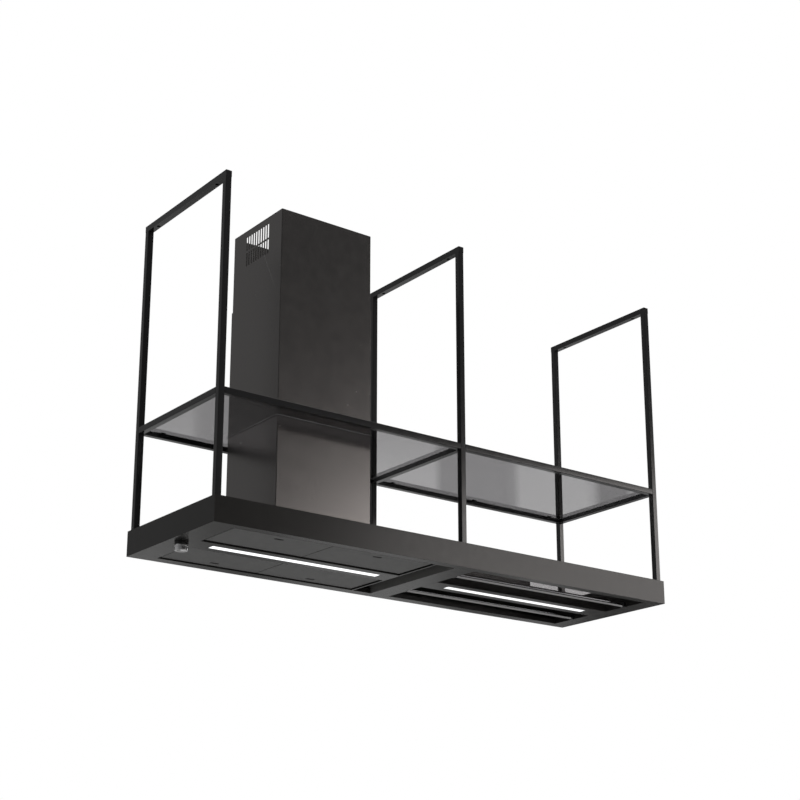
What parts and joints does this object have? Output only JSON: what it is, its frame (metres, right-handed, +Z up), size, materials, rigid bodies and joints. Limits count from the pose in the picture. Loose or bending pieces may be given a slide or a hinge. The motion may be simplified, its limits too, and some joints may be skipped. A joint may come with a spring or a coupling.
{
  "type": "island range hood",
  "caption": "Ceiling-hung island range hood: slim lit tray with hinged suction panels and utensil rods, square-tube portals, smoked-glass shelf and telescopic chimney.",
  "frame": {"origin": "centre of the ceiling plane, in the middle of the four outer ceiling screws", "axes": "+X along the tray to the right seen from the front, +Y to the back, +Z up into the ceiling"},
  "size_m": [1.8, 0.52, 1.1276],
  "materials": {
    "frame_black": "satin black powder coat on square steel tube",
    "tray_black": "satin anthracite powder coat on folded steel sheet",
    "panel_black": "satin anthracite powder coat, a little lighter",
    "sleeve_black": "satin anthracite powder coat on folded steel sheet",
    "smoked_glass": "smoked grey toughened glass, polished edges",
    "pad_rubber": "translucent silicone discs",
    "zinc_steel": "zinc-coated steel",
    "filter_aluminium": "brushed aluminium cassette",
    "channel_aluminium": "extruded aluminium",
    "led_board": "white circuit strip with yellow chips",
    "lens_opal": "opal lens, lit neutral white",
    "driver_plastic": "white moulded housing",
    "polished_steel": "polished stainless steel",
    "socket_black": "black moulded plastic",
    "knob_chrome": "polished, with a clear lower ring",
    "circuit_green": "circuit board with moulded parts",
    "impeller_plastic": "dark moulded plastic",
    "motor_paint": "grey painted casing",
    "flap_plastic": "pale moulded plastic"
  },
  "bodies": {
    "root": {"left_posts": "frame_black", "middle_posts": "frame_black", "right_posts": "frame_black", "left_top_rail": "frame_black", "middle_top_rail": "frame_black", "right_top_rail": "frame_black", "left_shelf_rail": "frame_black", "middle_shelf_rail": "frame_black", "right_shelf_rail": "frame_black", "front_shelf_rails": "frame_black", "back_shelf_rails": "frame_black", "shelf_glass_left": "smoked_glass", "shelf_glass_centre": "smoked_glass", "shelf_glass_right": "smoked_glass", "glass_tabs": "frame_black", "glass_pads": "pad_rubber", "front_skirt": "tray_black", "back_skirt": "tray_black", "left_end_box": "tray_black", "middle_box": "tray_black", "right_end_box": "tray_black", "hood_top_plate": "tray_black", "hood_fascia": "tray_black", "panel_hinges": "zinc_steel", "front_filters": "filter_aluminium", "back_filters": "filter_aluminium", "hood_light_channel": "channel_aluminium", "hood_led_strip": "led_board", "hood_light_lens": "lens_opal", "bay_light_beam": "tray_black", "bay_light_channel": "channel_aluminium", "bay_led_strip": "led_board", "bay_light_lens": "lens_opal", "deck_plate": "tray_black", "deck_glass": "smoked_glass", "service_box": "tray_black", "led_driver": "driver_plastic", "front_hanging_rod": "polished_steel", "back_hanging_rod": "polished_steel", "rod_sockets": "socket_black", "knob_collar": "socket_black", "control_board": "circuit_green", "cable_gland": "socket_black", "blower_casing": "zinc_steel", "motor": "motor_paint", "outlet_spigot": "zinc_steel", "chamber_lid": "zinc_steel", "chimney_lower": "sleeve_black"},
    "front_left_panel": {"front_left_panel": "panel_black"},
    "front_right_panel": {"front_right_panel": "panel_black"},
    "back_left_panel": {"back_left_panel": "panel_black"},
    "back_right_panel": {"back_right_panel": "panel_black"},
    "knob": {"control_knob": "knob_chrome"},
    "rotor": {"impeller": "impeller_plastic", "motor_shaft": "polished_steel"},
    "left_flap": {"left_flap": "flap_plastic"},
    "right_flap": {"right_flap": "flap_plastic"},
    "upper_sleeve": {"chimney_upper": "sleeve_black"}
  },
  "joints": [
    {"name": "front_left_panel_hinge", "type": "hinge", "parent": "root", "child": "front_left_panel", "pos_m": [-0.637, -0.058, -1.091], "axis": [1, 0, 0], "range_deg": [0, 80]},
    {"name": "front_right_panel_hinge", "type": "hinge", "parent": "root", "child": "front_right_panel", "pos_m": [-0.278, -0.058, -1.091], "axis": [1, 0, 0], "range_deg": [0, 80]},
    {"name": "back_left_panel_hinge", "type": "hinge", "parent": "root", "child": "back_left_panel", "pos_m": [-0.637, 0.058, -1.091], "axis": [-1, 0, 0], "range_deg": [0, 80]},
    {"name": "back_right_panel_hinge", "type": "hinge", "parent": "root", "child": "back_right_panel", "pos_m": [-0.278, 0.058, -1.091], "axis": [-1, 0, 0], "range_deg": [0, 80]},
    {"name": "upper_sleeve_slide", "type": "slide", "parent": "root", "child": "upper_sleeve", "axis": [0, 0, 1], "range_m": [-0.25, 0]},
    {"name": "knob_turn", "type": "hinge", "parent": "root", "child": "knob", "pos_m": [-0.856, 0, -1.1], "axis": [0, 0, 1], "continuous": true},
    {"name": "impeller_spin", "type": "hinge", "parent": "root", "child": "rotor", "pos_m": [-0.45, 0, -0.9], "axis": [1, 0, 0], "continuous": true},
    {"name": "left_flap_hinge", "type": "hinge", "parent": "root", "child": "left_flap", "pos_m": [-0.45, 0, -0.728], "axis": [0, 1, 0], "range_deg": [0, 75]},
    {"name": "right_flap_hinge", "type": "hinge", "parent": "root", "child": "right_flap", "pos_m": [-0.45, 0, -0.728], "axis": [0, -1, 0], "range_deg": [0, 75]}
  ]
}
